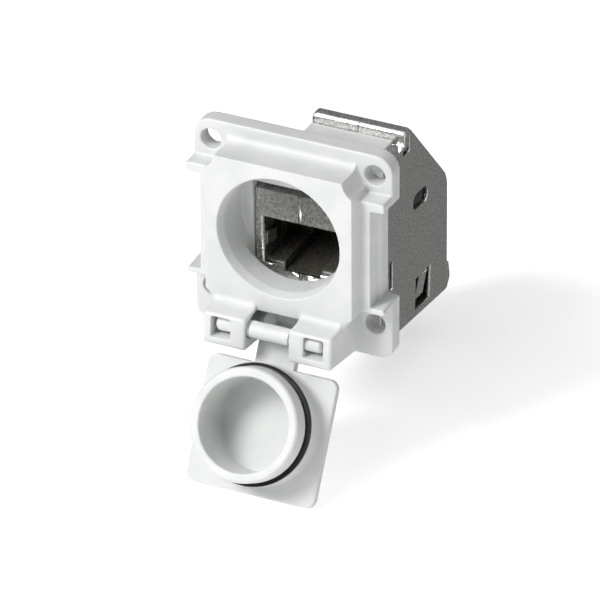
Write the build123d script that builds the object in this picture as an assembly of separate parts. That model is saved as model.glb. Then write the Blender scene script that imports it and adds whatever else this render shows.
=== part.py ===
from build123d import *
import math
import os

os.makedirs("parts", exist_ok=True)

# Frame: origin at the centre of the four screw holes, on the flange's rear face.
# X to the right, Y back into the panel, Z up. The plug goes in towards +Y.

# Two lengths used all over: how far a cut runs past a face, and how far two
# solids of one moulding run into each other where they join.
PAST = 1.0
SINK = 0.2

# Flange plate
PLATE_W = 31.5
PLATE_TOP = 15.55
PLATE_BOTTOM = -17.8
PLATE_T = 2.6
PLATE_R_TOP = 2.9
PLATE_R_BOTTOM = 1.9
PLATE_CHAMFER = 0.15
HOLE_EDGE = 2.8
HOLE_X = PLATE_W / 2 - HOLE_EDGE
HOLE_Z = 12.3
HOLE_R = 1.625
NOTCH_DEEP = 1.8
NOTCH_Z = 8.0

# Raised steps in front of the plate
STEP_X = HOLE_X + 0.55
STEP_TOP = 9.5
STEP_BOTTOM = -8.95
STEP_OUT = 2.9
STEP_R = 0.3
LUG_X = PLATE_W / 2 - 0.05
BLOCK_X = 11.7
BLOCK_TOP = 12.9
BLOCK_OUT = 5.1
BLOCK_BELOW_EAR = 0.35
SLOPE_R = 1.3
SCOOP_R = 3.2
SCOOP_X = HOLE_X + 0.4
SCOOP_Z_TOP = HOLE_Z + 0.9
SCOOP_Z_BOTTOM = -HOLE_Z + 0.15

# Plug opening
BORE_R = 9.3
BORE_Z = 1.35
BORE_END = -2.5
RECESS_END = -0.2
MOUTH_WIDE = 0.45
MOUTH_DEEP = 1.5

# Hinge ears under the opening
EAR_IN = 3.38
EAR_OUT = 10.25
EAR_TOP = -10.87
EAR_TOP_FRONT = -11.65
EAR_LOW_FRONT = -12.0
EAR_LOW_Z = -15.95
EAR_BACK_Z = -17.5
EAR_INSIDE = 2.0
EAR_NECK_R = 1.4
EAR_EDGE_R = 0.6
EAR_CHAMFER = 0.3
WINDOW_X0 = 5.8
WINDOW_X1 = 8.9
WINDOW_TOP = -11.46
WINDOW_LOW = -14.73
WINDOW_DEPTH = 4.6
GAP_LEDGE = 0.8

# Dust cap, in its own frame: hinge pin on the X axis, closed, ring towards +Y
CAP_W = 20.6
CAP_T = 1.5
CAP_R = 1.5
CAP_EDGE_R = 0.5
CAP_NEAR = 8.6
CAP_FAR = 10.45
CAP_ARM_X = 3.13
CAP_ARM_T = 1.6
CAP_ARM_IN = 0.6
RING_OUT = 8.45
RING_BASE_R = 8.7
RING_FOOT_R = 0.35
RING_IN = 7.0
RING_H = 7.3
RING_EDGE = 0.3
RING_LEAD = 0.15
CUP_EXTRA = 0.7
CUP_R = 0.35
SEAL_R = 8.3
SEAL_WIRE = 0.7
SEAL_FROM_RIM = 4.0
SEAL_GAP = 0.01
GROOVE_W = 1.75
HINGE_DROP = 13.5
HINGE_OFFSET = 3.44
KNUCKLE_R = 1.27
WEB_HALF = 0.75
PIN_HEAD_R = 1.24
PIN_SHANK_R = 0.7
PIN_CHAMFER = 0.35
PIN_FIT = 0.04
PIN_END = 8.4
PIN_ROOT = 0.4
HEAD_FIT = 0.1
SLOT_FIT = 0.12
KNUCKLE_FIT = 0.1
SEAT_GAP = 0.1
CAP_OPEN = 151.6
PIN_REST = (-10.07, -13.0)

# Panel gasket in the rear face
GASKET_X = 11.0
GASKET_TOP = 12.3
GASKET_BOTTOM = -13.0
GASKET_W = 1.2
GASKET_T = 0.9
GASKET_R = 4.0
GASKET_FIT = 0.05

# Neck behind the flange, and the hood over the module
BOSS_X = 10.2
BOSS_TOP = 11.3
BOSS_BOTTOM = -12.1
BOSS_BACK = 1.2
BOSS_R = 2.5
NECK_WALL = 1.3
NECK_BACK = 9.5
NECK_ROOF = 5.5
NECK_R = 0.8
HOOD_T = 0.7
HOOD_SHORT = 0.9
RIB_T = 0.8
RIB_IN = 1.2
RIB_SHORT = 3.0
CATCH_X = 5.6
CATCH_LONG = 4.2
CATCH_FIT = 0.35
CATCH_H = 0.95
CATCH_RAMP = 2.0

# Jack module: the outline of its casing seen from the side
MODULE_X = 7.45
MODULE_FRONT = 0.45
MODULE_FIT = 0.12
SHELL_T = 0.45
SEAM = 0.05
MODULE_TOP = 4.1
CREST_TOP = 6.45
CREST_FRONT = 19.9
CREST_LONG = 1.9
CREST_R = 0.8
REAR_TOP = -8.6
REAR_R = 4.5
REAR_LOW = -28.2
FOOT_Y = 11.4
FOOT_LOW = -25.65
NECK_LOW = -9.9
BEND_R = 0.6
EDGE_R = 0.25
HOOD_BACK = CREST_FRONT - HOOD_SHORT

# Rear cover, with the collar round the cable hole and the turned-out lip
COVER_SIDE = 0.55
COVER_X = MODULE_X - COVER_SIDE
COVER_TOP = REAR_TOP - 2.8
COVER_LOW = REAR_LOW + 0.9
COVER_R = 0.8
COVER_FIT = 0.06
COLLAR_T = 0.6
COLLAR_LONG = 1.6
LIP_OUT = 1.1
LIP_LEDGE = 0.6
LIP_H = 4.3
LIP_SIDE = 0.1

# Stampings of the side wall
EYE_IN = 9.85
EYE_Z = -7.5
EYE_W = 5.0
EYE_H = 2.6
TAB_IN = 9.0
TAB_Z = -23.3
TAB_W = 2.9
TAB_H = 5.3
TAB_LEAN = 8.5
SLIT_W = 1.05
SLIT_IN = 3.7
SLIT_Z = -15.25
SLIT_H = 4.8
HOOK_LEAD = 0.4
HOOK_W = 2.1
HOOK_FOOT = 0.8
HOOK_Z0 = 2.6
HOOK_Z1 = 5.3
HOOK_SLIT = 0.3

# Port and its insert
PORT_X = 5.98
PORT_TOP = -0.43
PORT_LOW = -7.4
KEY_X = 2.9
KEY_LOW = -8.8
PORT_DEPTH = 12.6
PORT_EDGE = 0.2
PORT_SILL = 0.7
INSERT_FIT = 0.08
INSERT_WALL = 1.62
GUIDE_LONG = 3.4
GUIDE_H = 3.2
GUIDE_SINK = 0.3

# Contact springs and the comb that parts them
CONTACTS = 8
PITCH = 1.02
WIRE_W = 0.4
WIRE_T = 0.3
COMB_ROOF = 1.5
COMB_SLOT = 0.6
COMB_FRONT = 1.6
COMB_BACK = 3.2
COMB_TUNNEL = 0.75
NOSE_IN = 2.57
NOSE_TURN = 0.75
NOSE_DROP = 1.2
CONTACT_REACH = 5.85
CONTACT_LOW = -3.0
CONTACT_TAIL = 1.0

# Shield springs on the port's side walls
SPRING_T = 0.22
SPRING_BOW = 0.55
SPRING_FOOT = 0.5
SPRING_PEAK = 1.9
SPRING_LONG = 4.6
SPRING_END = 1.0
SPRING_Z = -5.5
SPRING_H = 2.2
SPRING_GAP = 0.01

# Board, wire blocks and blades
BOARD_T = 1.2
BOARD_FIT = 0.15
BOARD_TOP = 2.9
BOARD_LOW = -21.5
BOARD_R = 0.5
BOARD_NICK_Z = -11.0
BOARD_NICK_R = 0.9
STACK_GAP = 0.1
IDC_DEPTH = 9.4
IDC_H = 7.0
IDC_UPPER_Z = -5.5
IDC_LOWER_Z = -17.1
IDC_COUNT = 4
IDC_PITCH = 3.0
IDC_BASE = 3.4
IDC_SLOT = 1.1
IDC_VEE = 0.9
BLADE_T = 0.45
BLADE_W = 2.0
BLADE_FIT = 0.03
BLADE_SIDE_FIT = 0.05
BLADE_SHORT = 1.5
JAW_GAP = 0.32
JAW_MOUTH = 0.7

# Wire manager, cable and clamp
MANAGER_T = 4.8
MANAGER_TOP = -6.4
MANAGER_LOW = -20.4
MANAGER_FLOOR = 2.4
MANAGER_DOOR_W = 6.4
MANAGER_DOOR_H = 5.4
MANAGER_NICK_W = 1.0
MANAGER_NICK_H = 1.6
MANAGER_NICK_DEEP = 2.2
CLAMP_T = 2.45
CLAMP_WALL = 1.0
CLAMP_SPLIT = 1.0
CLAMP_EAR_T = 0.8
CLAMP_EAR_H = 2.6
CABLE_Z = -17.0
CABLE_R = 4.1


def block(x0, x1, y0, y1, z0, z1):
    body = Box(x1 - x0, y1 - y0, z1 - z0)
    return Pos((x0 + x1) / 2, (y0 + y1) / 2, (z0 + z1) / 2) * body


def front_profile(sketch, y_back, y_front):
    # An outline drawn in X and Z, pulled towards the front.
    plane = Plane(origin=(0, y_back, 0), x_dir=(1, 0, 0), z_dir=(0, -1, 0))
    return extrude(plane * sketch, amount=y_back - y_front)


def side_profile(sketch, x0, x1):
    # An outline drawn in Y and Z, pulled along X.
    plane = Plane(origin=(x0, 0, 0), x_dir=(0, 1, 0), z_dir=(1, 0, 0))
    return extrude(plane * sketch, amount=x1 - x0)


def outline(points):
    return make_face(Polyline(*points, close=True))


def rounded(sketch, corners, radius):
    picked = []
    for corner in corners:
        picked.append(sketch.vertices().sort_by_distance((corner[0], corner[1], 0))[0])
    return fillet(picked, radius)


def rounded_rect(x0, x1, z0, z1, radius):
    shape = RectangleRounded(x1 - x0, z1 - z0, radius)
    return Pos((x0 + x1) / 2, (z0 + z1) / 2) * shape


def bent_strip(points, thickness):
    # The outline of a strip of even thickness along a bent path.
    half = thickness / 2
    left = []
    right = []
    last = len(points) - 1
    for i, point in enumerate(points):
        before = points[max(i - 1, 0)]
        after = points[min(i + 1, last)]
        d1 = math.atan2(point[1] - before[1], point[0] - before[0]) if i else None
        d2 = math.atan2(after[1] - point[1], after[0] - point[0]) if i < last else None
        if d1 is None:
            d1 = d2
        if d2 is None:
            d2 = d1
        mid = (d1 + d2) / 2
        reach = half / math.cos((d2 - d1) / 2)
        nx = -math.sin(mid) * reach
        ny = math.cos(mid) * reach
        left.append((point[0] + nx, point[1] + ny))
        right.append((point[0] - nx, point[1] - ny))
    return outline(left + right[::-1])


def mirrored(body):
    return mirror(body, about=Plane.YZ)


def save(body, name):
    body.label = name
    export_step(body, "parts/" + name + ".step")


# Front faces of the block and of the step.
block_front = -PLATE_T - BLOCK_OUT
step_front = -PLATE_T - STEP_OUT

# Where the hinge pin sits with the cap open and with it closed.
pin_closed = (block_front - SEAT_GAP + HINGE_OFFSET, BORE_Z - HINGE_DROP)
travel_y = pin_closed[0] - PIN_REST[0]
travel_z = pin_closed[1] - PIN_REST[1]
travel = math.hypot(travel_y, travel_z)
slot_angle = math.degrees(math.atan2(travel_z, travel_y))

# The pieces inside the module stand one behind the other, up to its rear wall.
inner_x = MODULE_X - SHELL_T
insert_front = MODULE_FRONT + SHELL_T + INSERT_FIT
insert_back = insert_front + PORT_DEPTH + INSERT_WALL
board_x = inner_x - BOARD_FIT
idc_front = insert_back + STACK_GAP + BOARD_T
idc_back = idc_front + IDC_DEPTH
manager_front = idc_back + STACK_GAP
clamp_front = manager_front + MANAGER_T + STACK_GAP
rear_y = clamp_front + CLAMP_T + STACK_GAP + COLLAR_LONG + SHELL_T

# The sleeve's room round the module, and the underside of the hood.
sleeve_x = MODULE_X + MODULE_FIT
sleeve_low = NECK_LOW - MODULE_FIT
hood_low = MODULE_TOP + MODULE_FIT


def pin_track(radius, x0, x1):
    # The room a round bar of this radius sweeps between the two pin positions.
    middle = ((PIN_REST[0] + pin_closed[0]) / 2, (PIN_REST[1] + pin_closed[1]) / 2)
    shape = Pos(*middle) * Rot(0, 0, slot_angle) * SlotCenterToCenter(travel, 2 * radius)
    return side_profile(shape, x0, x1)


def make_plate():
    half = PLATE_W / 2
    shape = outline([(-half, PLATE_BOTTOM), (half, PLATE_BOTTOM), (half, PLATE_TOP), (-half, PLATE_TOP)])
    shape = rounded(shape, [(-half, PLATE_TOP), (half, PLATE_TOP)], PLATE_R_TOP)
    shape = rounded(shape, [(-half, PLATE_BOTTOM), (half, PLATE_BOTTOM)], PLATE_R_BOTTOM)
    notch = Rectangle(2 * NOTCH_DEEP, 2 * NOTCH_Z)
    for side in (-1, 1):
        shape -= Pos(side * half, 0) * notch
    plate = front_profile(shape, 0, -PLATE_T)
    rim = plate.faces().sort_by(Axis.Y)[0].outer_wire().edges()
    return chamfer(rim, PLATE_CHAMFER)


def make_steps():
    step = front_profile(rounded_rect(-STEP_X, STEP_X, STEP_BOTTOM, STEP_TOP, STEP_R), -PLATE_T, step_front)
    for z0, z1 in ((NOTCH_Z, STEP_TOP), (STEP_BOTTOM, -NOTCH_Z)):
        step += front_profile(rounded_rect(-LUG_X, LUG_X, z0, z1, STEP_R), -PLATE_T, step_front)
    return step


def make_block():
    low = EAR_TOP - BLOCK_BELOW_EAR
    shape = outline([(-BLOCK_X, low), (BLOCK_X, low), (BLOCK_X, BLOCK_TOP), (-BLOCK_X, BLOCK_TOP)])
    for side in (-1, 1):
        shape -= Pos(side * SCOOP_X, SCOOP_Z_TOP) * Circle(SCOOP_R)
        shape -= Pos(side * SCOOP_X, SCOOP_Z_BOTTOM) * Circle(SCOOP_R)
    body = front_profile(shape, -PLATE_T, block_front)
    # A hollow slope where the top wall meets the plate.
    slope = outline([(-PLATE_T, BLOCK_TOP - SINK), (-PLATE_T - SLOPE_R, BLOCK_TOP - SINK),
                     (-PLATE_T - SLOPE_R, BLOCK_TOP), (-PLATE_T, BLOCK_TOP + SLOPE_R)])
    hollow = Pos(-PLATE_T - SLOPE_R, BLOCK_TOP + SLOPE_R) * Circle(SLOPE_R)
    body += side_profile(slope - hollow, -SCOOP_X + SCOOP_R, SCOOP_X - SCOOP_R)
    return body


def make_ear():
    shape = outline([(-PLATE_T + SINK, EAR_BACK_Z), (EAR_LOW_FRONT, EAR_LOW_Z), (EAR_TOP_FRONT, EAR_TOP),
                     (block_front, EAR_TOP), (block_front, EAR_TOP + EAR_INSIDE),
                     (-PLATE_T + SINK, EAR_TOP + EAR_INSIDE)])
    shape = rounded(shape, [(block_front, EAR_TOP)], EAR_NECK_R)
    shape = rounded(shape, [(EAR_TOP_FRONT, EAR_TOP), (EAR_LOW_FRONT, EAR_LOW_Z)], EAR_EDGE_R)
    ear = side_profile(shape, EAR_IN, EAR_OUT)
    front = ear.faces().sort_by(Axis.Y)[0]
    ear = chamfer(front.edges() - front.edges().filter_by(Axis.X), EAR_CHAMFER)
    window_y = EAR_LOW_FRONT + WINDOW_DEPTH
    ear -= block(WINDOW_X0, WINDOW_X1, EAR_LOW_FRONT - PAST, window_y, WINDOW_LOW, WINDOW_TOP)
    return ear


def make_neck():
    # Boss, tube round the module and the hood over its top.
    body = front_profile(rounded_rect(-BOSS_X, BOSS_X, BOSS_BOTTOM, BOSS_TOP, BOSS_R), BOSS_BACK, RECESS_END)
    tube_x = sleeve_x + NECK_WALL
    tube = rounded_rect(-tube_x, tube_x, sleeve_low - NECK_WALL, NECK_ROOF + NECK_WALL, NECK_R)
    body += front_profile(tube, NECK_BACK, RECESS_END)
    hood_top = hood_low + HOOD_T
    body += block(-MODULE_X, MODULE_X, NECK_BACK - NECK_WALL, HOOD_BACK, hood_low, hood_top)
    rib = outline([(NECK_BACK - SINK, hood_top - SINK), (HOOD_BACK - RIB_SHORT, hood_top - SINK),
                   (NECK_BACK - SINK, NECK_ROOF + NECK_WALL - SINK)])
    for side in (-1, 1):
        x = side * (MODULE_X - RIB_IN)
        body += side_profile(rib, x - RIB_T / 2, x + RIB_T / 2)
    # The hood stops short where the module's catch snaps in.
    body -= block(CATCH_X, MODULE_X + PAST, HOOD_BACK - CATCH_LONG, HOOD_BACK + PAST,
                  hood_low - PAST, hood_top + PAST)
    return body - sleeve_room(RECESS_END - PAST)


def sleeve_room(y_front):
    # The room inside the sleeve that takes the module.
    room = block(-sleeve_x, sleeve_x, y_front, NECK_BACK + PAST, sleeve_low, NECK_ROOF)
    lintel_y = NECK_BACK - NECK_WALL
    room -= block(-sleeve_x, sleeve_x, lintel_y, NECK_BACK + 2 * PAST, hood_low, NECK_ROOF + PAST)
    return room


def make_flange():
    body = make_plate() + make_steps() + make_block()
    ear = make_ear()
    body += ear
    body += mirrored(ear)
    # Plug opening with its lead-in; the module's sleeve opens into its lower half.
    mouth_r = BORE_R + MOUTH_WIDE
    mouth = [(0, PAST), (0, block_front - PAST), (mouth_r, block_front - PAST), (mouth_r, block_front),
             (BORE_R, block_front + MOUTH_DEEP), (BORE_R, PAST)]
    face = Plane(origin=(0, 0, BORE_Z), x_dir=(1, 0, 0), z_dir=(0, 0, 1)) * outline(mouth)
    body -= revolve(face, axis=Axis((0, 0, BORE_Z), (0, 1, 0)), revolution_arc=360)
    body += make_neck()
    body -= sleeve_room(BORE_END)
    # Screw holes
    for sx in (-1, 1):
        for sz in (-1, 1):
            hole = Pos(sx * HOLE_X, sz * HOLE_Z) * Circle(HOLE_R)
            body -= front_profile(hole, PAST, step_front - PAST)
    body -= knuckle_gap()
    body -= pin_track(PIN_HEAD_R + SLOT_FIT, -PIN_END - HEAD_FIT, PIN_END + HEAD_FIT)
    # Groove for the panel gasket
    body -= gasket_ring(GASKET_W + 2 * GASKET_FIT, GASKET_T + PAST, PAST)
    return body


def knuckle_gap():
    # The gap between the ears. Its ceiling runs along the pin's way to the closed place.
    room = KNUCKLE_R + KNUCKLE_FIT
    back = pin_closed[0] + room
    lean = math.radians(slot_angle)
    roof = (pin_closed[0] - room * math.sin(lean), pin_closed[1] + room * math.cos(lean))
    out = EAR_LOW_FRONT - PAST
    gap = outline([roof, (out, roof[1] + (out - roof[0]) * math.tan(lean)), (out, PLATE_BOTTOM - PAST),
                   (-PLATE_T, PLATE_BOTTOM - PAST), (-PLATE_T, EAR_BACK_Z + GAP_LEDGE),
                   (back, EAR_BACK_Z + 2 * GAP_LEDGE), (back, pin_closed[1]), pin_closed])
    return side_profile(gap, -EAR_IN, EAR_IN) + pin_track(room, -EAR_IN, EAR_IN)


def gasket_ring(width, depth, y_back):
    half = width / 2
    shape = rounded_rect(-GASKET_X - half, GASKET_X + half, GASKET_BOTTOM - half, GASKET_TOP + half,
                         GASKET_R + half)
    shape -= rounded_rect(-GASKET_X + half, GASKET_X - half, GASKET_BOTTOM + half, GASKET_TOP - half,
                          GASKET_R - half)
    return front_profile(shape, y_back, y_back - depth)


def cap_place(body):
    # From the cap's closed frame at the pin to where the open cap hangs.
    return Pos(0, PIN_REST[0], PIN_REST[1]) * Rot(CAP_OPEN, 0, 0) * body


def ring_turn(shape):
    # A shape in radius and height above the cap's inner face, turned round the ring's axis.
    face = Plane(origin=(0, -HINGE_OFFSET, HINGE_DROP), x_dir=(1, 0, 0), z_dir=(0, 0, 1)) * shape
    return revolve(face, axis=Axis((0, 0, HINGE_DROP), (0, 1, 0)), revolution_arc=360)


def make_cap():
    inner = -HINGE_OFFSET
    near = HINGE_DROP - CAP_NEAR
    far = HINGE_DROP + CAP_FAR
    plate = front_profile(rounded_rect(-CAP_W / 2, CAP_W / 2, near, far, CAP_R), inner, inner - CAP_T)
    outer_rim = plate.faces().sort_by(Axis.Y)[0].outer_wire().edges()
    plate = fillet(outer_rim, CAP_EDGE_R)
    inner_rim = plate.faces().sort_by(Axis.Y)[-1].outer_wire().edges()
    plate = chamfer(inner_rim, PLATE_CHAMFER)
    # Ring with its groove for the seal
    low = RING_H - SEAL_FROM_RIM - GROOVE_W / 2
    high = low + GROOVE_W
    floor = SEAL_R - SEAL_WIRE - SEAL_GAP
    ring = ring_turn(outline([
        (RING_IN - PAST, -CUP_EXTRA / 2), (RING_BASE_R + RING_FOOT_R, -CUP_EXTRA / 2),
        (RING_BASE_R + RING_FOOT_R, 0), (RING_BASE_R, RING_FOOT_R), (RING_BASE_R, low), (floor, low),
        (floor, high), (RING_OUT, high), (RING_OUT, RING_H - RING_EDGE), (RING_OUT - RING_EDGE, RING_H),
        (RING_IN - PAST, RING_H)]))
    # Arm, root and hinge knuckle
    body = plate + ring
    body += block(-CAP_ARM_X, CAP_ARM_X, inner - CAP_ARM_T, inner, -WEB_HALF, near + CAP_ARM_IN)
    body += block(-CAP_ARM_X, CAP_ARM_X, inner - SINK, 0, -WEB_HALF, WEB_HALF)
    body += side_profile(Circle(KNUCKLE_R), -CAP_ARM_X, CAP_ARM_X)
    # Hollow of the ring, with a round foot and a lead-in at the rim
    cup = outline([(0, -CUP_EXTRA), (RING_IN, -CUP_EXTRA), (RING_IN, RING_H - RING_LEAD),
                   (RING_IN + RING_LEAD, RING_H), (RING_IN + RING_LEAD, RING_H + PAST), (0, RING_H + PAST)])
    body -= ring_turn(rounded(cup, [(RING_IN, -CUP_EXTRA)], CUP_R))
    body -= side_profile(Circle(PIN_SHANK_R + PIN_FIT), -CAP_ARM_X - PAST, CAP_ARM_X + PAST)
    return body


def make_cap_seal():
    return ring_turn(Pos(SEAL_R, RING_H - SEAL_FROM_RIM) * Circle(SEAL_WIRE))


def make_hinge_pin():
    # The right one: a thick head that slides in the ear, a thin shank inside the knuckle.
    neck = CAP_ARM_X + HEAD_FIT
    pin = side_profile(Circle(PIN_HEAD_R), neck, PIN_END)
    pin = chamfer(pin.edges().filter_by(GeomType.CIRCLE).sort_by(Axis.X)[-1], PIN_CHAMFER)
    shank = side_profile(Circle(PIN_SHANK_R), PIN_ROOT, neck + SINK)
    shank = chamfer(shank.edges().filter_by(GeomType.CIRCLE).sort_by(Axis.X)[0], PIN_CHAMFER / 2)
    return Pos(0, PIN_REST[0], PIN_REST[1]) * (pin + shank)


def module_outline():
    crest_back = CREST_FRONT + CREST_LONG
    shape = outline([
        (MODULE_FRONT, NECK_LOW), (MODULE_FRONT, MODULE_TOP), (CREST_FRONT, MODULE_TOP),
        (CREST_FRONT, CREST_TOP), (crest_back, CREST_TOP), (rear_y, REAR_TOP),
        (rear_y, REAR_LOW), (FOOT_Y, FOOT_LOW), (FOOT_Y, NECK_LOW)])
    shape = rounded(shape, [(CREST_FRONT, CREST_TOP)], CREST_R)
    shape = rounded(shape, [(rear_y, REAR_TOP)], REAR_R)
    shape = rounded(shape, [(crest_back, CREST_TOP), (FOOT_Y, FOOT_LOW), (rear_y, REAR_LOW)], BEND_R)
    return shape


def port_shape():
    shape = Pos(0, (PORT_TOP + PORT_LOW) / 2) * Rectangle(2 * PORT_X, PORT_TOP - PORT_LOW)
    shape += Pos(0, (PORT_TOP + KEY_LOW) / 2) * Rectangle(2 * KEY_X, PORT_TOP - KEY_LOW)
    return shape


def port_window():
    # The hole in the casing's front, cut lower than the insert's floor behind it.
    sill = PORT_LOW - PORT_SILL
    return port_shape() + Pos(0, (PORT_TOP + sill) / 2) * Rectangle(2 * PORT_X, PORT_TOP - sill)


def make_shell():
    # The right half of the metal casing; the left one is its mirror image.
    shape = module_outline()
    body = side_profile(shape, SEAM, MODULE_X)
    body = fillet(body.faces().sort_by(Axis.X)[-1].outer_wire().edges(), EDGE_R)
    body -= side_profile(offset(shape, amount=-SHELL_T, kind=Kind.INTERSECTION), -PAST, inner_x)
    body -= front_profile(port_window(), MODULE_FRONT + SHELL_T + PORT_EDGE, MODULE_FRONT - PAST)
    # Rear window that the cover fills
    body -= block(-PAST, COVER_X + COVER_FIT, rear_y - SHELL_T - PAST, rear_y + PAST,
                  COVER_LOW - COVER_FIT, COVER_TOP + COVER_FIT)
    body -= side_profile(side_stampings(), inner_x - SINK, MODULE_X + PAST)
    return body + latch_tab()


def wall_lean():
    # The slope of the casing's bottom edge, which the stampings follow.
    return math.degrees(math.atan2(REAR_LOW - FOOT_LOW, rear_y - FOOT_Y))


def latch_tab():
    # Tongue left by the three-sided cut, pressed inwards from its root at the top.
    long = TAB_H - SLIT_W + SINK
    tongue = block(-SHELL_T, 0, -TAB_W / 2, TAB_W / 2, -long, 0)
    tongue = Rot(0, TAB_LEAN, 0) * tongue
    root_z = TAB_H / 2 + SINK
    return Pos(MODULE_X, rear_y - TAB_IN, TAB_Z) * Rot(wall_lean() / 2, 0, 0) * Pos(0, 0, root_z) * tongue


def make_catch():
    # Sheet catch on top of the right half, in the notch at the hood's corner.
    y1 = CREST_FRONT - 4 * CATCH_FIT
    foot = MODULE_TOP - SINK
    top = MODULE_TOP + CATCH_H
    ramp = outline([(y1, foot), (y1, top), (y1 - CATCH_H, top), (y1 - CATCH_H - CATCH_RAMP, foot)])
    return side_profile(ramp, CATCH_X + CATCH_FIT, MODULE_X - CATCH_FIT)


def side_stampings():
    # Knock-out, window of the latch tab, upright slit and hook slot, in Y and Z.
    lean = wall_lean()
    eye = Pos(rear_y - EYE_IN, EYE_Z) * Rot(0, 0, lean) * RectangleRounded(EYE_W, EYE_H, EYE_H / 2.2)
    tab = Pos(rear_y - TAB_IN, TAB_Z) * Rot(0, 0, lean / 2) * Rectangle(TAB_W + 2 * SLIT_W, TAB_H)
    slit = Pos(FOOT_Y + SLIT_IN, SLIT_Z) * RectangleRounded(SLIT_W, SLIT_H, SLIT_W / 3)
    hook_y0 = CREST_FRONT - HOOK_LEAD
    hook_y1 = hook_y0 + HOOK_W
    hook = rounded_rect(hook_y0, hook_y1, HOOK_Z0, HOOK_Z0 + HOOK_FOOT, HOOK_FOOT / 3)
    hook += rounded_rect(hook_y1 - HOOK_SLIT, hook_y1, HOOK_Z0 + HOOK_FOOT / 2, HOOK_Z1, HOOK_SLIT / 3)
    return eye + tab + slit + hook


def make_rear_cover():
    # Plate in the rear window, with its cable hole and its turned-out lower lip.
    y0 = rear_y - SHELL_T
    plate = rounded_rect(-COVER_X, COVER_X, COVER_LOW, COVER_TOP, COVER_R) - Pos(0, CABLE_Z) * Circle(CABLE_R)
    body = front_profile(plate, rear_y, y0)
    ring = Pos(0, CABLE_Z) * (Circle(CABLE_R + COLLAR_T) - Circle(CABLE_R))
    body += front_profile(ring, y0 + SINK, y0 - COLLAR_LONG)
    # The lip stands out with a ledge at its top and runs back to the casing below.
    foot = rear_y + COVER_FIT
    low = COVER_LOW - COVER_R
    top = low + LIP_H
    lip = outline([(foot, low), (rear_y + LIP_OUT, low + LIP_H / 3), (rear_y + LIP_OUT, low + LIP_H / 2),
                   (rear_y + LIP_LEDGE, top), (foot, top)])
    body += side_profile(lip, -MODULE_X + LIP_SIDE, MODULE_X - LIP_SIDE)
    body += block(-COVER_X + COVER_R, COVER_X - COVER_R, rear_y - SINK, rear_y + SINK,
                  COVER_LOW + SINK, top - COVER_R)
    return body


def contact_places():
    first = -(CONTACTS - 1) * PITCH / 2
    return [first + i * PITCH for i in range(CONTACTS)]


def make_insert():
    # Black plastic block with the port's cavity and the comb for the contacts.
    half = inner_x - INSERT_FIT
    top = MODULE_TOP - SHELL_T - INSERT_FIT
    low = NECK_LOW + SHELL_T + INSERT_FIT
    body = block(-half, half, insert_front, insert_back, low, top)
    cavity_back = insert_front + PORT_DEPTH
    body -= front_profile(port_shape(), cavity_back, insert_front - PAST)
    slot = COMB_SLOT / 2
    comb_back = insert_back - COMB_BACK
    for x in contact_places():
        body -= block(x - slot, x + slot, insert_front + COMB_FRONT, comb_back, PORT_TOP - SINK, COMB_ROOF)
        body -= block(x - slot, x + slot, comb_back - SINK, insert_back + PAST,
                      COMB_ROOF - COMB_TUNNEL, COMB_ROOF)
    # Sloped guides at the back of the cavity
    guide = outline([(cavity_back + GUIDE_SINK, PORT_LOW), (cavity_back - GUIDE_LONG, PORT_LOW),
                     (cavity_back + GUIDE_SINK, PORT_TOP - GUIDE_H)])
    body += side_profile(guide, -PORT_X, -KEY_X)
    body += side_profile(guide, KEY_X, PORT_X)
    return body


def make_contact(x):
    # Flat wire from the board along the comb, turned back down into the cavity.
    rail = COMB_ROOF - WIRE_T / 2
    nose = insert_front + NOSE_IN
    tip = nose + CONTACT_REACH
    path = [(insert_back + STACK_GAP, rail), (nose + NOSE_TURN, rail), (nose, rail - NOSE_DROP / 2.4),
            (nose, rail - NOSE_DROP), (tip, CONTACT_LOW), (tip + CONTACT_TAIL, CONTACT_LOW - WIRE_T / 2)]
    return side_profile(bent_strip(path, WIRE_T), x - WIRE_W / 2, x + WIRE_W / 2)


def make_shield_spring():
    # Bowed strip that touches the plug's side, on the port's right wall.
    wall = PORT_X - SPRING_T / 2 - SPRING_GAP
    y0 = insert_front
    path = [(wall, y0), (wall, y0 + SPRING_FOOT), (wall - SPRING_BOW, y0 + SPRING_PEAK),
            (wall, y0 + SPRING_LONG - SPRING_END), (wall, y0 + SPRING_LONG)]
    return Pos(0, 0, SPRING_Z) * extrude(bent_strip(path, SPRING_T), amount=SPRING_H)


def make_board():
    shape = rounded_rect(-board_x, board_x, BOARD_LOW, BOARD_TOP, BOARD_R)
    for x in (-board_x, board_x):
        shape -= Pos(x, BOARD_NICK_Z) * Circle(BOARD_NICK_R)
    return front_profile(shape, idc_front, idc_front - BOARD_T)


def wire_places():
    first = -(IDC_COUNT - 1) * IDC_PITCH / 2
    return [first + i * IDC_PITCH for i in range(IDC_COUNT)]


def make_wire_block(z):
    # A row of posts; each slot holds one forked blade and takes one wire.
    z0 = z - IDC_H / 2
    z1 = z + IDC_H / 2
    body = block(-board_x, board_x, idc_front, idc_back, z0, z1)
    slot = IDC_SLOT / 2
    blade_x = BLADE_W / 2 + BLADE_SIDE_FIT
    blade_z = BLADE_T / 2 + BLADE_FIT
    vee = IDC_VEE / 2
    for x in wire_places():
        body -= block(x - slot, x + slot, idc_front + IDC_BASE, idc_back + PAST, z0 - PAST, z1 + PAST)
        body -= block(x - blade_x, x + blade_x, idc_front - PAST, idc_back - BLADE_SHORT + BLADE_SIDE_FIT,
                      z - blade_z, z + blade_z)
    for x in wire_places()[1:]:
        post = x - IDC_PITCH / 2
        notch = outline([(post - vee, idc_back + SINK), (post + vee, idc_back + SINK),
                         (post, idc_back - IDC_BASE / 2)])
        body -= Pos(0, 0, z0 - PAST) * extrude(notch, amount=IDC_H + 2 * PAST)
    return body


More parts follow.
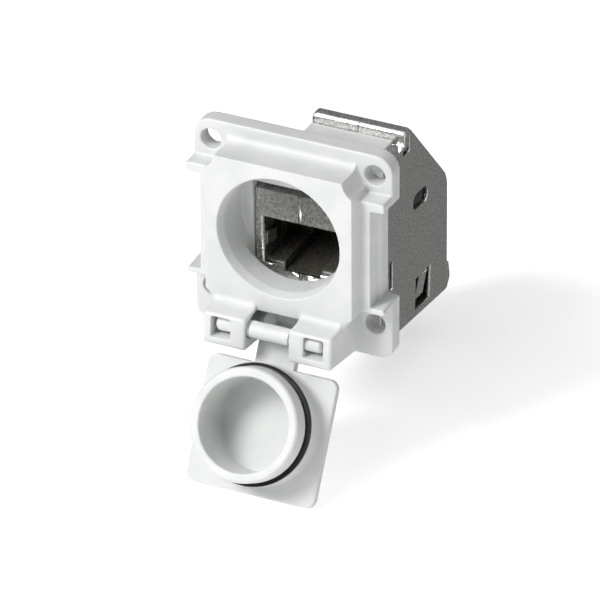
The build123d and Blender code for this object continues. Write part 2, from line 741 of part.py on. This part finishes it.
def make_wire_blade(x, z):
    # Forked blade whose jaws bite the wire's insulation.
    tip = idc_back - BLADE_SHORT
    half = BLADE_W / 2
    jaw = JAW_GAP / 2
    face = outline([(x - half, idc_front), (x + half, idc_front), (x + half, tip), (x + 2 * jaw, tip),
                    (x + jaw, tip - JAW_MOUTH), (x + jaw, idc_front + IDC_BASE + SINK),
                    (x - jaw, idc_front + IDC_BASE + SINK), (x - jaw, tip - JAW_MOUTH),
                    (x - 2 * jaw, tip), (x - half, tip)])
    return Pos(0, 0, z - BLADE_T / 2) * extrude(face, amount=BLADE_T)


def make_wire_manager():
    # Plastic cap that lays the eight wires over the blades.
    y0 = manager_front
    body = block(-board_x, board_x, y0, y0 + MANAGER_T, MANAGER_LOW, MANAGER_TOP)
    door_z = CABLE_Z + MANAGER_NICK_W
    body -= front_profile(Pos(0, CABLE_Z) * Circle(CABLE_R - COLLAR_T), clamp_front + PAST, y0 + MANAGER_FLOOR)
    body -= front_profile(Pos(0, door_z) * Rectangle(MANAGER_DOOR_W, MANAGER_DOOR_H),
                          y0 + MANAGER_FLOOR + SINK, y0 - PAST)
    nick = MANAGER_NICK_W / 2
    for x in wire_places():
        for z in (MANAGER_LOW, MANAGER_TOP):
            body -= block(x - nick, x + nick, y0 - PAST, y0 + MANAGER_NICK_DEEP,
                          z - MANAGER_NICK_H, z + MANAGER_NICK_H)
    return body


def make_cable_clamp():
    # Split metal ring that grips the cable's braid, between manager and cover.
    y1 = clamp_front + CLAMP_T
    ring = Pos(0, CABLE_Z) * (Circle(CABLE_R + CLAMP_WALL) - Circle(CABLE_R))
    ring -= Pos(0, CABLE_Z + CABLE_R) * Rectangle(CLAMP_SPLIT, CABLE_R)
    body = front_profile(ring, y1, clamp_front)
    ear_z = CABLE_Z + CABLE_R
    split = CLAMP_SPLIT / 2
    ear = block(split, split + CLAMP_EAR_T, clamp_front, y1, ear_z + SINK, ear_z + CLAMP_EAR_H)
    return body + ear + mirrored(ear)


save(make_flange(), "flange_housing")
save(gasket_ring(GASKET_W, GASKET_T, 0.0), "panel_gasket")
save(cap_place(make_cap()), "dust_cap")
save(cap_place(make_cap_seal()), "cap_seal_ring")
pin = make_hinge_pin()
save(pin, "hinge_pin_right")
save(mirrored(pin), "hinge_pin_left")
shell = make_shell()
save(shell + make_catch(), "module_shell_right")
save(mirrored(shell), "module_shell_left")
save(make_rear_cover(), "rear_cover")
save(make_insert(), "port_insert")
for number, place in enumerate(contact_places(), start=1):
    save(make_contact(place), "contact_spring_" + str(number))
spring = make_shield_spring()
save(spring, "shield_spring_right")
save(mirrored(spring), "shield_spring_left")
save(make_board(), "circuit_board")
for row, height in (("upper", IDC_UPPER_Z), ("lower", IDC_LOWER_Z)):
    save(make_wire_block(height), "wire_block_" + row)
    for number, place in enumerate(wire_places(), start=1):
        save(make_wire_blade(place, height), "wire_blade_" + row + "_" + str(number))
save(make_wire_manager(), "wire_manager")
save(make_cable_clamp(), "cable_clamp")
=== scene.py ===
import bmesh
import bpy
import math
from mathutils import Matrix, Vector


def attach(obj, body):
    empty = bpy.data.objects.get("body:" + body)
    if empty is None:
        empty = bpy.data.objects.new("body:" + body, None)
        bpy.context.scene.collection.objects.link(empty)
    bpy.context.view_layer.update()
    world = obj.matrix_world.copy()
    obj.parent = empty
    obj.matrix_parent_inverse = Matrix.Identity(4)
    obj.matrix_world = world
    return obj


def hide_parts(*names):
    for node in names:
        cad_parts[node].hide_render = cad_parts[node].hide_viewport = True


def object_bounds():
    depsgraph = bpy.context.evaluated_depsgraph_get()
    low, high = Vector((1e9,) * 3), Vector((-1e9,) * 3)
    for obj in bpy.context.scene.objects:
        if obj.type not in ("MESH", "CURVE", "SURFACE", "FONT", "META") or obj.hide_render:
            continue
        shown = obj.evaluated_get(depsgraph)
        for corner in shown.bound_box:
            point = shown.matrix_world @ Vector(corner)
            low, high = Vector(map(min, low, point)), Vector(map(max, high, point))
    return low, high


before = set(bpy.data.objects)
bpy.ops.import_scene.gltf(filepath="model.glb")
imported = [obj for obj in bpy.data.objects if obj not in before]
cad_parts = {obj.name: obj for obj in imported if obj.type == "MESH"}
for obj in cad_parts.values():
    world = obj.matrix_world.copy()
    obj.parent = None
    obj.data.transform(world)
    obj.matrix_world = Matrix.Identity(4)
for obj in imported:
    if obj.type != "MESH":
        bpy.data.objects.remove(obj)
cad_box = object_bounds()
MM = 0.001


# Flange housing
# The white moulded body: plate, raised steps, hinge ears and the neck behind them.
# Injection moulded polyamide with a fine even mould texture and soft edges.

def linear(hex_colour):
    # An sRGB hex value as linear RGBA.
    made = []
    for place in (0, 2, 4):
        part = int(hex_colour[place:place + 2], 16) / 255
        made.append(part / 12.92 if part <= 0.04045 else ((part + 0.055) / 1.055) ** 2.4)
    return (*made, 1.0)


def add_node(material, kind, inputs, **settings):
    # One node with its settings; an input is a value or the socket that feeds it.
    made = material.node_tree.nodes.new(kind)
    for name, value in settings.items():
        setattr(made, name, value)
    for place, value in inputs.items():
        if isinstance(value, bpy.types.NodeSocket):
            material.node_tree.links.new(value, made.inputs[place])
        else:
            made.inputs[place].default_value = value
    return made


def surface(name, **constants):
    # A node material whose shader carries the constants; gives material and shader.
    material = bpy.data.materials.new(name)
    material.use_nodes = True
    shader = material.node_tree.nodes["Principled BSDF"]
    for socket, value in constants.items():
        shader.inputs[socket.replace("_", " ")].default_value = value
    return material, shader


def feed(material, shader, **links):
    # Joins sockets to the shader's inputs.
    for socket, source in links.items():
        material.node_tree.links.new(source, shader.inputs[socket.replace("_", " ")])


def two_tone(material, place, size, detail, dark, light, low=0.35, high=0.65):
    # Cloudy change between two colours over patches of this size in metres.
    cloud = add_node(material, "ShaderNodeTexNoise",
                     {"Vector": place, "Scale": 1 / size, "Detail": detail})
    ramp = add_node(material, "ShaderNodeValToRGB", {"Fac": cloud.outputs["Fac"]})
    ramp.color_ramp.elements[0].position = low
    ramp.color_ramp.elements[0].color = linear(dark)
    ramp.color_ramp.elements[1].position = high
    ramp.color_ramp.elements[1].color = linear(light)
    return ramp.outputs["Color"]


def grained(material, shader, place, size, detail, smooth, rough, strength=0.0, depth=0.01 * MM):
    # Grain of this size in metres varies the roughness and, with a strength, lifts the surface.
    grain = add_node(material, "ShaderNodeTexNoise",
                     {"Vector": place, "Scale": 1 / size, "Detail": detail})
    gloss = add_node(material, "ShaderNodeMapRange",
                     {"Value": grain.outputs["Fac"], "To Min": smooth, "To Max": rough})
    feed(material, shader, Roughness=gloss.outputs["Result"])
    if strength:
        bump = add_node(material, "ShaderNodeBump",
                        {"Height": grain.outputs["Fac"], "Strength": strength, "Distance": depth})
        feed(material, shader, Normal=bump.outputs["Normal"])


# Polyamide 6 with glass fibre: a neutral white with a satin gloss.
# The mould's spark texture is about 0.25 mm across and only softens the gloss.
polyamide, shader = surface("moulded_polyamide", IOR=1.53)
place = add_node(polyamide, "ShaderNodeTexCoord", {}).outputs["Object"]
tone = two_tone(polyamide, place, size=6 * MM, detail=2, dark="cfd1d0", light="d8d9d8")
feed(polyamide, shader, Base_Color=tone)
grained(polyamide, shader, place, size=0.25 * MM, detail=3, smooth=0.42, rough=0.52, strength=0.25)

NEAR = 0.02 * MM
WELD = 0.002 * MM
FLAT_ANGLE = math.radians(0.5)


def copy_of(node):
    # The CAD solid's mesh with its triangles merged into flat faces.
    shape = bmesh.new()
    shape.from_mesh(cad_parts[node].data)
    bmesh.ops.remove_doubles(shape, verts=shape.verts, dist=WELD)
    bmesh.ops.dissolve_limit(shape, angle_limit=FLAT_ANGLE, verts=shape.verts, edges=shape.edges)
    return shape


def make_piece(name, shape, material, body, node):
    # A finished mesh becomes a piece that rides on its body and stands for its CAD node.
    data = bpy.data.meshes.new(name)
    shape.to_mesh(data)
    shape.free()
    data.materials.append(material)
    piece = bpy.data.objects.new(name, data)
    bpy.context.scene.collection.objects.link(piece)
    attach(piece, body)
    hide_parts(node)
    return piece


def settle(piece):
    # Applies the modifiers, so that the finished mesh is the piece.
    evaluated = piece.evaluated_get(bpy.context.evaluated_depsgraph_get())
    finished = bpy.data.meshes.new_from_object(evaluated)
    piece.modifiers.clear()
    piece.data = finished


def melt_edges(piece, voxel, passes, most_faces):
    # Fine voxels and a little smoothing leave every edge round, as a mould does.
    # A voxel face is two triangles, and thinning stops at most_faces triangles.
    melt = piece.modifiers.new("melt", "REMESH")
    melt.mode = "VOXEL"
    melt.voxel_size = voxel
    melt.use_smooth_shade = True
    relax = piece.modifiers.new("relax", "SMOOTH")
    relax.iterations = passes
    settle(piece)
    thin = piece.modifiers.new("thin", "DECIMATE")
    thin.ratio = min(1.0, most_faces / (2 * len(piece.data.polygons)))
    settle(piece)


# The hood is carried on to just short of the casing's crest. The recess behind the cap's
# knuckle is made deeper, so that it is a dark slot under the block.
HOOD_END = 19.0 * MM
CREST_NEAR = 19.83 * MM
RECESS_BACK = -2.6 * MM
RECESS_DEEP = -0.5 * MM
RECESS_HALF = 3.4 * MM
RECESS_TOP = -12.0 * MM
shape = copy_of("flange_housing")
for vertex in shape.verts:
    if vertex.co.y > HOOD_END - NEAR:
        vertex.co.y = CREST_NEAR
    behind = abs(vertex.co.y - RECESS_BACK) < NEAR and abs(vertex.co.x) < RECESS_HALF
    if behind and vertex.co.z < RECESS_TOP:
        vertex.co.y = RECESS_DEEP
flange = make_piece("flange_moulding", shape, polyamide,
                    "flange", "flange_housing")
melt_edges(flange, voxel=0.14 * MM, passes=5, most_faces=190000)


# Panel gasket
# A flat black rubber ring in the groove of the flange's rear face.
# Nitrile rubber, black, with a soft gloss.
SHARP_ANGLE = math.radians(35)


def break_edges(piece, width):
    # A narrow rounded bevel on every sharp edge, with smooth light across it.
    edge = piece.modifiers.new("edge", "BEVEL")
    edge.width = width
    edge.segments = 3
    edge.limit_method = "ANGLE"
    edge.angle_limit = SHARP_ANGLE
    edge.harden_normals = True
    settle(piece)
    piece.data.shade_smooth()
    level = piece.modifiers.new("level", "WEIGHTED_NORMAL")
    level.weight = 100
    settle(piece)


rubber, shader = surface("nitrile_rubber", IOR=1.52)
place = add_node(rubber, "ShaderNodeTexCoord", {}).outputs["Object"]
feed(rubber, shader, Base_Color=two_tone(rubber, place, 2 * MM, 2, "0b0b0c", "151516"))
grained(rubber, shader, place, size=0.2 * MM, detail=2, smooth=0.22, rough=0.38, strength=0.2)
gasket = make_piece("panel_gasket_soft", copy_of("panel_gasket"), rubber,
                    "flange", "panel_gasket")
break_edges(gasket, 0.2 * MM)


# Module shells
# Two mirrored halves of the jack's casing, which meet on the middle plane.
# Die-cast zinc, nickel plated and tumbled, so the satin surface looks finely speckled.
# The plating is a light warm grey. The tumbling marks are up to 0.3 mm across.
nickel, shader = surface("tumbled_nickel_plate", Metallic=1.0)
place = add_node(nickel, "ShaderNodeTexCoord", {}).outputs["Object"]
tone = two_tone(nickel, place, 0.3 * MM, 5, "c5c5c3", "f6f6f3", low=0.38, high=0.62)
feed(nickel, shader, Base_Color=tone)
grained(nickel, shader, place, size=0.28 * MM, detail=5, smooth=0.18, rough=0.42,
        strength=0.5, depth=0.012 * MM)

CASING_FRONT = 0.45 * MM
CASING_HALF = 7.45 * MM
RIM_ROUND = 0.18 * MM
RIM_ANGLE = math.radians(50)
PORT_HALF = 5.98 * MM
PORT_ENDS = (-0.43 * MM, -8.1 * MM)
PORT_ROLL = 0.36 * MM
CREST_FOOT = 5.6 * MM
CREST_TOP = 6.45 * MM
CREST_ROUND = 0.7 * MM
CREST_FALL = 0.8
CREST_CUTS = (0.0, 0.3, 0.5, 0.65, 0.8, 0.92)
FOLD_Y = (21.0 * MM, 21.35 * MM)
FOLD_Z = (3.0 * MM, 5.5 * MM)
FOLD_DEEP = 0.3 * MM
GROOVE_SIDES = (-0.62 * MM, -0.34 * MM)
GROOVE_DEEP = 0.12 * MM
PRESSED_SIDE = 0.03 * MM
FACES_FRONT = -0.99


def cut_at(shape, place, way):
    # An edge loop all round the shape, where it crosses this plane.
    everything = [*shape.verts, *shape.edges, *shape.faces]
    bmesh.ops.bisect_plane(shape, geom=everything, plane_co=place, plane_no=way)


def round_off(shape, rims, radius, segments):
    # A round of this radius along these edges.
    bmesh.ops.bevel(shape, geom=rims, offset=radius, segments=segments, profile=0.5,
                    affect="EDGES", material=-1)


def press_in(shape, faces, depth):
    # A patch of flat faces goes in by this depth, with steep sides.
    bmesh.ops.inset_region(shape, faces=faces, thickness=PRESSED_SIDE, depth=-depth)


def roll_port_sides(shape):
    # The port's two upright edges are rolled inwards, so that a plug slides past.
    for z in PORT_ENDS:
        cut_at(shape, (0, 0, z), (0, 0, 1))
    rims = []
    for edge in shape.edges:
        beside = all(abs(abs(end.co.x) - PORT_HALF) < NEAR for end in edge.verts)
        if beside and all(abs(end.co.y - CASING_FRONT) < NEAR for end in edge.verts):
            rims.append(edge)
    round_off(shape, rims, PORT_ROLL, segments=5)


def round_rims(shape):
    # The rims of the side wall's openings are rounded more than the other edges.
    rims = []
    for edge in shape.edges:
        flat = all(abs(abs(end.co.x) - CASING_HALF) < NEAR for end in edge.verts)
        if flat and edge.calc_face_angle(0) > RIM_ANGLE:
            rims.append(edge)
    round_off(shape, rims, RIM_ROUND, segments=4)


def press_fold(shape, side):
    # Presses in the slit on the side wall, where the crest's front wall is folded round on to it.
    for y in FOLD_Y:
        cut_at(shape, (0, y, 0), (0, 1, 0))
    for z in FOLD_Z:
        cut_at(shape, (0, 0, z), (0, 0, 1))
    slit = []
    for face in shape.faces:
        middle = face.calc_center_median()
        outside = side * middle.x > CASING_HALF - NEAR
        if outside and FOLD_Y[0] < middle.y < FOLD_Y[1] and FOLD_Z[0] < middle.z < FOLD_Z[1]:
            slit.append(face)
    press_in(shape, slit, FOLD_DEEP)


def round_crest_end(shape, side):
    # The crest's outer end falls away in a quarter round.
    inner = CASING_HALF - CREST_ROUND
    for part in CREST_CUTS:
        cut_at(shape, (side * (inner + part * CREST_ROUND), 0, 0), (1, 0, 0))
    for vertex in shape.verts:
        out = (abs(vertex.co.x) - inner) / CREST_ROUND
        if out > 0 and vertex.co.z > CREST_FOOT:
            rise = min(1.0, (vertex.co.z - CREST_FOOT) / (CREST_TOP - CREST_FOOT))
            drop = 1 - math.sqrt(1 - min(out, 1.0) ** 2)
            vertex.co.z -= rise * CREST_FALL * CREST_ROUND * drop


def press_groove(shape):
    # A shallow groove down the left half's front wall, beside the seam.
    for x in GROOVE_SIDES:
        cut_at(shape, (x, 0, 0), (1, 0, 0))
    strip = []
    for face in shape.faces:
        middle = face.calc_center_median()
        front = face.normal.y < FACES_FRONT and middle.y < CASING_FRONT + NEAR
        if front and GROOVE_SIDES[0] < middle.x < GROOVE_SIDES[1]:
            strip.append(face)
    press_in(shape, strip, GROOVE_DEEP)


for side, sign in (("left", -1), ("right", 1)):
    shape = copy_of("module_shell_" + side)
    roll_port_sides(shape)
    round_rims(shape)
    press_fold(shape, sign)
    round_crest_end(shape, sign)
    if side == "left":
        press_groove(shape)
    casing = make_piece("casing_" + side, shape, nickel,
                        "flange", "module_shell_" + side)
    break_edges(casing, 0.08 * MM)


# Rear cover
# The plate behind the casing with the collar for the cable, cast and finished as the casing is.
# It snaps into the rear window and its lip covers the lower edge.
cover = make_piece("rear_cover_plate", copy_of("rear_cover"), nickel,
                   "flange", "rear_cover")
break_edges(cover, 0.11 * MM)


# Port insert
# The black block with the plug's cavity and the comb that keeps the contacts apart.
# Glass-filled PBT from a polished mould: brown-black, with a clear gloss on the floor.
pbt, shader = surface("moulded_pbt", IOR=1.57)
place = add_node(pbt, "ShaderNodeTexCoord", {}).outputs["Object"]
feed(pbt, shader, Base_Color=two_tone(pbt, place, 1.5 * MM, 3, "44433d", "52514b"))
grained(pbt, shader, place, size=0.35 * MM, detail=3, smooth=0.2, rough=0.34, strength=0.2)
insert = make_piece("port_block", copy_of("port_insert"), pbt,
                    "flange", "port_insert")
break_edges(insert, 0.09 * MM)


# Contact springs
# Eight flat bronze wires bent down into the port, each in its own slot of the comb.
# Drawn phosphor bronze with hard gold plating, bright with faint drawing marks.
gold, shader = surface("gold_plated_bronze", Metallic=1.0)
place = add_node(gold, "ShaderNodeTexCoord", {}).outputs["Object"]
feed(gold, shader, Base_Color=two_tone(gold, place, 1 * MM, 2, "c9a257", "e0bd6d"))
grained(gold, shader, place, size=0.3 * MM, detail=3, smooth=0.15, rough=0.32)
for number in range(1, 9):
    node = "contact_spring_" + str(number)
    wire = make_piece(node + "_wire", copy_of(node), gold, "flange", node)
    break_edges(wire, 0.09 * MM)


# Shield springs
# A bowed strip on each side wall of the port, which touches the plug's metal sides.
# Stamped bronze strip with a bright tin finish.
tinned, shader = surface("tinned_bronze", Metallic=1.0)
place = add_node(tinned, "ShaderNodeTexCoord", {}).outputs["Object"]
feed(tinned, shader, Base_Color=two_tone(tinned, place, 1 * MM, 2, "c4c4c2", "dcdcd9"))
grained(tinned, shader, place, size=0.4 * MM, detail=3, smooth=0.14, rough=0.3)
for side in ("left", "right"):
    node = "shield_spring_" + side
    strip = make_piece(node + "_strip", copy_of(node), tinned, "flange", node)
    break_edges(strip, 0.07 * MM)


# Circuit board
# The board that carries the contacts to the wire blocks, upright behind the port.
# Glass-epoxy laminate under green solder mask, with the weave just showing through.
def dress(node, material):
    # A CAD solid that keeps its own shape takes a material.
    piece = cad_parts[node]
    piece.data.materials.clear()
    piece.data.materials.append(material)


laminate, shader = surface("glass_epoxy_laminate", Roughness=0.35, IOR=1.55)
place = add_node(laminate, "ShaderNodeTexCoord", {}).outputs["Object"]
feed(laminate, shader, Base_Color=two_tone(laminate, place, 0.8 * MM, 3, "12402a", "184e33"))
weave = add_node(laminate, "ShaderNodeTexWave",
                 {"Vector": place, "Scale": 1 / (1.2 * MM), "Distortion": 1.0},
                 bands_direction="Z")
bump = add_node(laminate, "ShaderNodeBump",
                {"Height": weave.outputs["Fac"], "Strength": 0.2, "Distance": 0.01 * MM})
feed(laminate, shader, Normal=bump.outputs["Normal"])
dress("circuit_board", laminate)


# Wire blocks, blades and clamp
# Two rows of slotted posts with forked blades, the cap that lays the wires, and the ring
# that grips the cable's braid. Moulded PBT and tinned bronze, closed in by the casing.
# The PBT is nearly black with a dull, even surface, and the tinned blades are bright.
block_pbt, shader = surface("moulded_pbt_matt", IOR=1.57, Roughness=0.5)
place = add_node(block_pbt, "ShaderNodeTexCoord", {}).outputs["Object"]
feed(block_pbt, shader, Base_Color=two_tone(block_pbt, place, 1.5 * MM, 3, "111111", "1c1c1b"))
for node in ("wire_block_upper", "wire_block_lower", "wire_manager"):
    dress(node, block_pbt)
for row in ("upper", "lower"):
    for number in range(1, 5):
        dress("wire_blade_" + row + "_" + str(number), tinned)
clamp = make_piece("cable_clamp_ring", copy_of("cable_clamp"), tinned,
                   "flange", "cable_clamp")
break_edges(clamp, 0.12 * MM)


# Dust cap
# Moulded lid with a hollow spigot, an arm and a hinge knuckle, hanging open on its pins.
# Same polyamide as the flange, from a mould with soft edges.
cap = make_piece("dust_cap_moulding", copy_of("dust_cap"), polyamide,
                 "cap", "dust_cap")
melt_edges(cap, voxel=0.12 * MM, passes=3, most_faces=150000)
for side in ("left", "right"):
    pin = make_piece("hinge_pin_" + side + "_moulding", copy_of("hinge_pin_" + side), polyamide,
                     "pins", "hinge_pin_" + side)
    break_edges(pin, 0.1 * MM)


# Cap seal ring
# A round ring of black rubber, stretched into the groove round the cap's spigot.
# Nitrile rubber, the same as the gasket's, with a slightly oily gloss.
SEAL_TURN = 8.3 * MM
SEAL_WIRE = 0.7 * MM
SEAL_AHEAD = -0.14 * MM
SPIGOT_RISE = 13.5 * MM
PIN_PLACE = (0, -10.07 * MM, -13.0 * MM)
CAP_OPEN = math.radians(151.6)
WIRE_SEGMENTS = 24
TURN_STEPS = 120
shape = bmesh.new()
bmesh.ops.create_circle(shape, radius=SEAL_WIRE, segments=WIRE_SEGMENTS)
bmesh.ops.translate(shape, verts=shape.verts, vec=(SEAL_TURN, SEAL_AHEAD, SPIGOT_RISE))
bmesh.ops.spin(shape, geom=[*shape.verts, *shape.edges], cent=(0, 0, SPIGOT_RISE),
               axis=(0, 1, 0), angle=math.tau, steps=TURN_STEPS, use_merge=True)
bmesh.ops.remove_doubles(shape, verts=shape.verts, dist=WELD)
bmesh.ops.recalc_face_normals(shape, faces=shape.faces)
bmesh.ops.rotate(shape, verts=shape.verts, cent=(0, 0, 0),
                 matrix=Matrix.Rotation(CAP_OPEN, 3, "X"))
bmesh.ops.translate(shape, verts=shape.verts, vec=PIN_PLACE)
seal = make_piece("seal_ring_rubber", shape, rubber, "cap", "cap_seal_ring")
seal.data.shade_smooth()


# Studio
# Pale floor under the lowest point, soft light from above left, and the camera.
# The floor is white paper that gives off a little light, which keeps the ground pale.
AIM = Vector((0.0, 0.0, -5 * MM))
LAMP_REACH = 0.75
FLOOR_HALF = 3.0
FLOOR_GAP = 0.2 * MM


def light_panel(name, toward, size, watts):
    # A soft rectangular lamp, this way from the object, which the camera doesn't see.
    place = AIM + LAMP_REACH * Vector(toward)
    data = bpy.data.lights.new(name, "AREA")
    data.shape = "RECTANGLE"
    data.size, data.size_y = size
    data.energy = watts
    lamp = bpy.data.objects.new(name, data)
    lamp.location = place
    lamp.rotation_euler = (AIM - place).to_track_quat("-Z", "Y").to_euler()
    lamp.visible_camera = False
    bpy.context.scene.collection.objects.link(lamp)


floor_mesh = bmesh.new()
bmesh.ops.create_grid(floor_mesh, x_segments=1, y_segments=1, size=FLOOR_HALF)
bmesh.ops.translate(floor_mesh, verts=floor_mesh.verts, vec=(0, 0, cad_box[0].z - FLOOR_GAP))
floor_data = bpy.data.meshes.new("floor")
floor_mesh.to_mesh(floor_data)
floor_mesh.free()
floor = bpy.data.objects.new("floor", floor_data)
bpy.context.scene.collection.objects.link(floor)
paper, shader = surface("studio_paper", Roughness=0.9)
shader.inputs["Base Color"].default_value = linear("fafafa")
shader.inputs["Emission Color"].default_value = linear("ffffff")
shader.inputs["Emission Strength"].default_value = 0.55
floor_data.materials.append(paper)
floor.visible_glossy = False

# A curved band of soft light over the object, from low at the front left to high over the front,
# with each panel's angle above the floor in degrees and its watts.
BAND_LEFT = -0.3
BAND_SIZE = (0.5, 0.36)
BAND_PANELS = ((16, 0.55), (45, 0.75), (73, 0.75))
for number, (rise, watts) in enumerate(BAND_PANELS, start=1):
    around = math.sqrt(1 - BAND_LEFT ** 2)
    angle = math.radians(rise)
    toward = (BAND_LEFT, -around * math.cos(angle), around * math.sin(angle))
    light_panel("band_" + str(number), toward, BAND_SIZE, watts)
light_panel("key_light", toward=(-0.42, -0.62, 0.66), size=(0.26, 0.26), watts=4.0)
light_panel("top_light", toward=(0.4, -0.05, 0.91), size=(0.45, 0.6), watts=1.2)
light_panel("side_light", toward=(0.62, -0.42, 0.66), size=(0.16, 0.16), watts=0.3)
bpy.context.scene.view_settings.view_transform = "Standard"

# What bright metal mirrors: dim air all round, and one pale wall on the right.
AIR_LIGHT = 0.19
WALL_LIGHT = 0.85
WALL_WAY = (0.995, -0.1, 0.0)
WALL_EDGE = (0.6, 0.85)
world = bpy.data.worlds.new("studio_air")
world.use_nodes = True
back = world.node_tree.nodes["Background"]
way = add_node(world, "ShaderNodeTexCoord", {}).outputs["Generated"]
facing = add_node(world, "ShaderNodeVectorMath", {0: way, 1: WALL_WAY}, operation="DOT_PRODUCT")
wall = add_node(world, "ShaderNodeMapRange",
                {"Value": facing.outputs["Value"], "From Min": WALL_EDGE[0],
                 "From Max": WALL_EDGE[1], "To Min": AIR_LIGHT, "To Max": WALL_LIGHT})
world.node_tree.links.new(wall.outputs["Result"], back.inputs["Strength"])
back.inputs["Color"].default_value = linear("ffffff")
bpy.context.scene.world = world
world.cycles_visibility.diffuse = False

# The camera was solved from the square flange in the photograph; its turn is in degrees.
CAMERA_PLACE = (0.37744, -0.798585, 0.512696)
CAMERA_TURN = (59.24641, 0.35416, 25.09704)
lens = bpy.data.cameras.new("camera")
lens.lens = 424.68
lens.sensor_width = 36
lens.clip_start = 0.05
lens.clip_end = 50
camera = bpy.data.objects.new("camera", lens)
camera.location = CAMERA_PLACE
camera.rotation_euler = [math.radians(angle) for angle in CAMERA_TURN]
bpy.context.scene.collection.objects.link(camera)
bpy.context.scene.camera = camera
